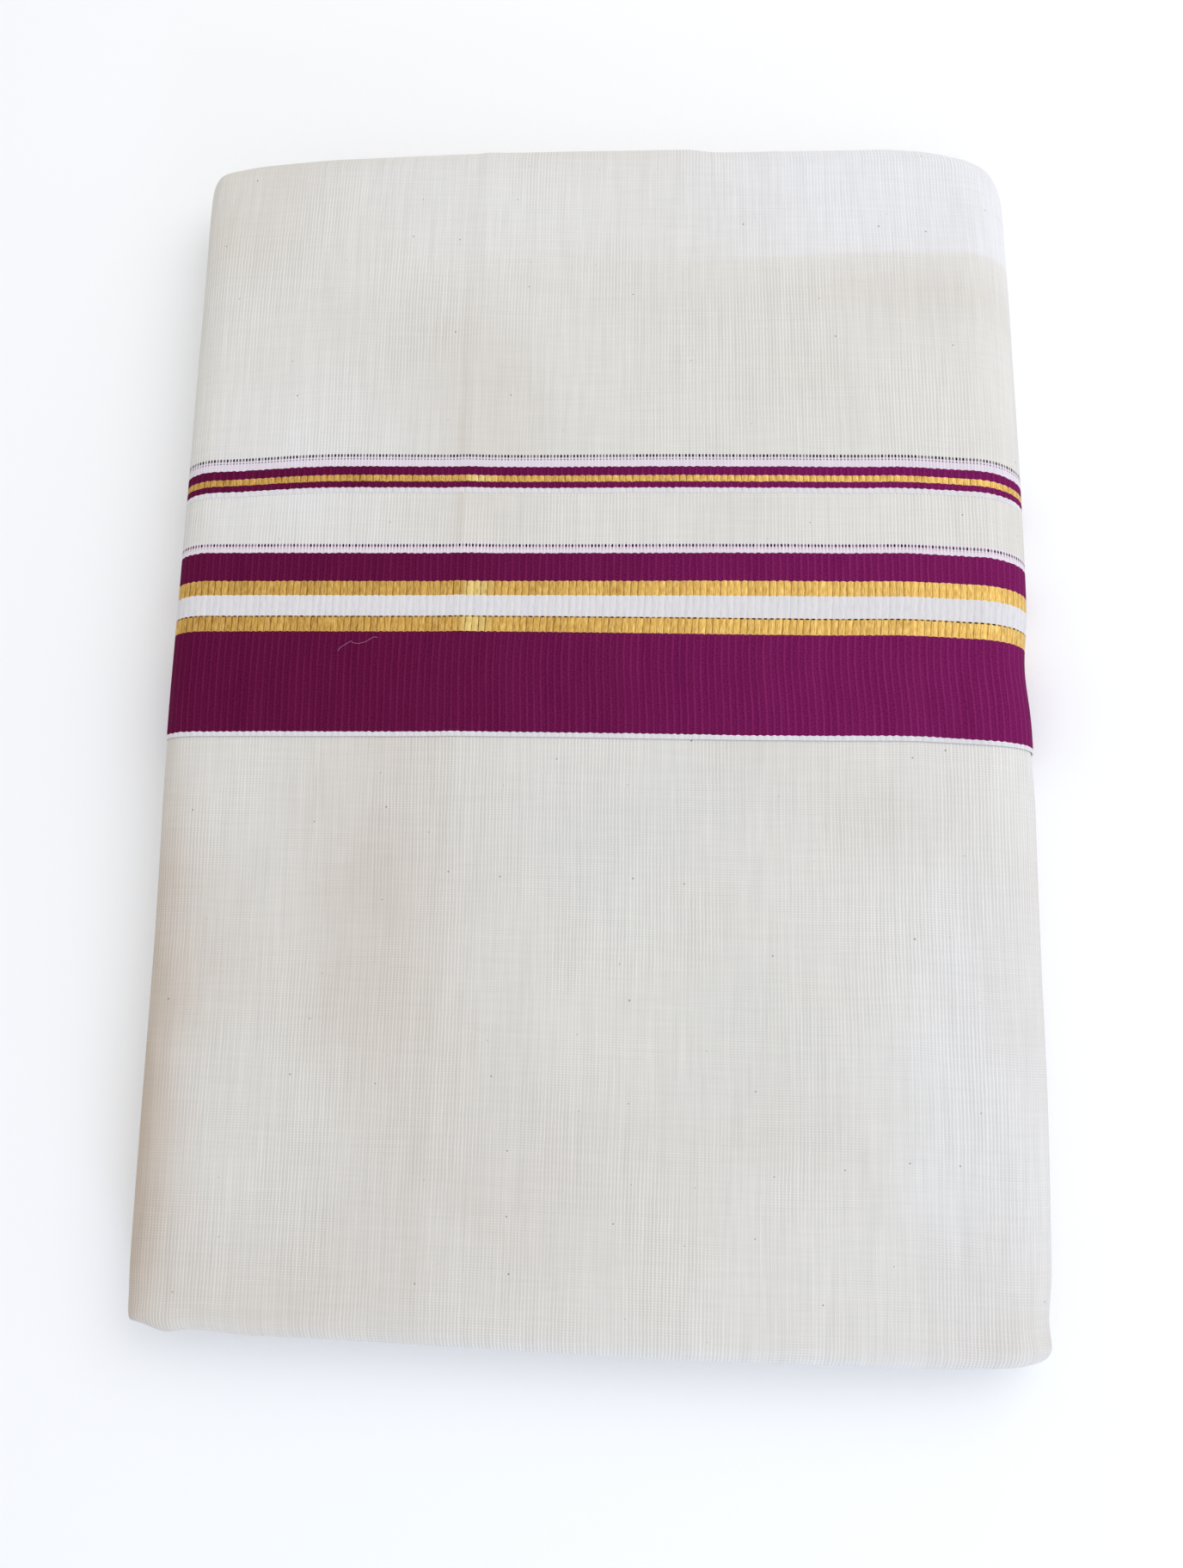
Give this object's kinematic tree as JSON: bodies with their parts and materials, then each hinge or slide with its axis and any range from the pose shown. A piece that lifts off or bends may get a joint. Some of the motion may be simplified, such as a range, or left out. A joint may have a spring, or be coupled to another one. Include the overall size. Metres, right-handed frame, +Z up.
{
  "type": "folded dhoti cloth",
  "caption": "Cotton dhoti pressed and folded into a flat oblong pack, its woven border across the top, plies layered at the edges.",
  "frame": {"origin": "centre of the underside that the pack rests on", "axes": "+Z up from the underside, +Y along the length towards the far fold, +X across towards the closed side fold"},
  "size_m": [0.252, 0.3608, 0.0257],
  "materials": {
    "bordered_cotton": "matte ribbed cotton, cream with a woven maroon, gold and white border",
    "plain_cotton": "matte ribbed cotton, unbleached cream",
    "layered_cotton": "matte cotton plies, unbleached cream"
  },
  "bodies": {
    "root": {"border_flap": "bordered_cotton", "near_panel": "plain_cotton", "folded_layers": "layered_cotton"}
  },
  "joints": []
}
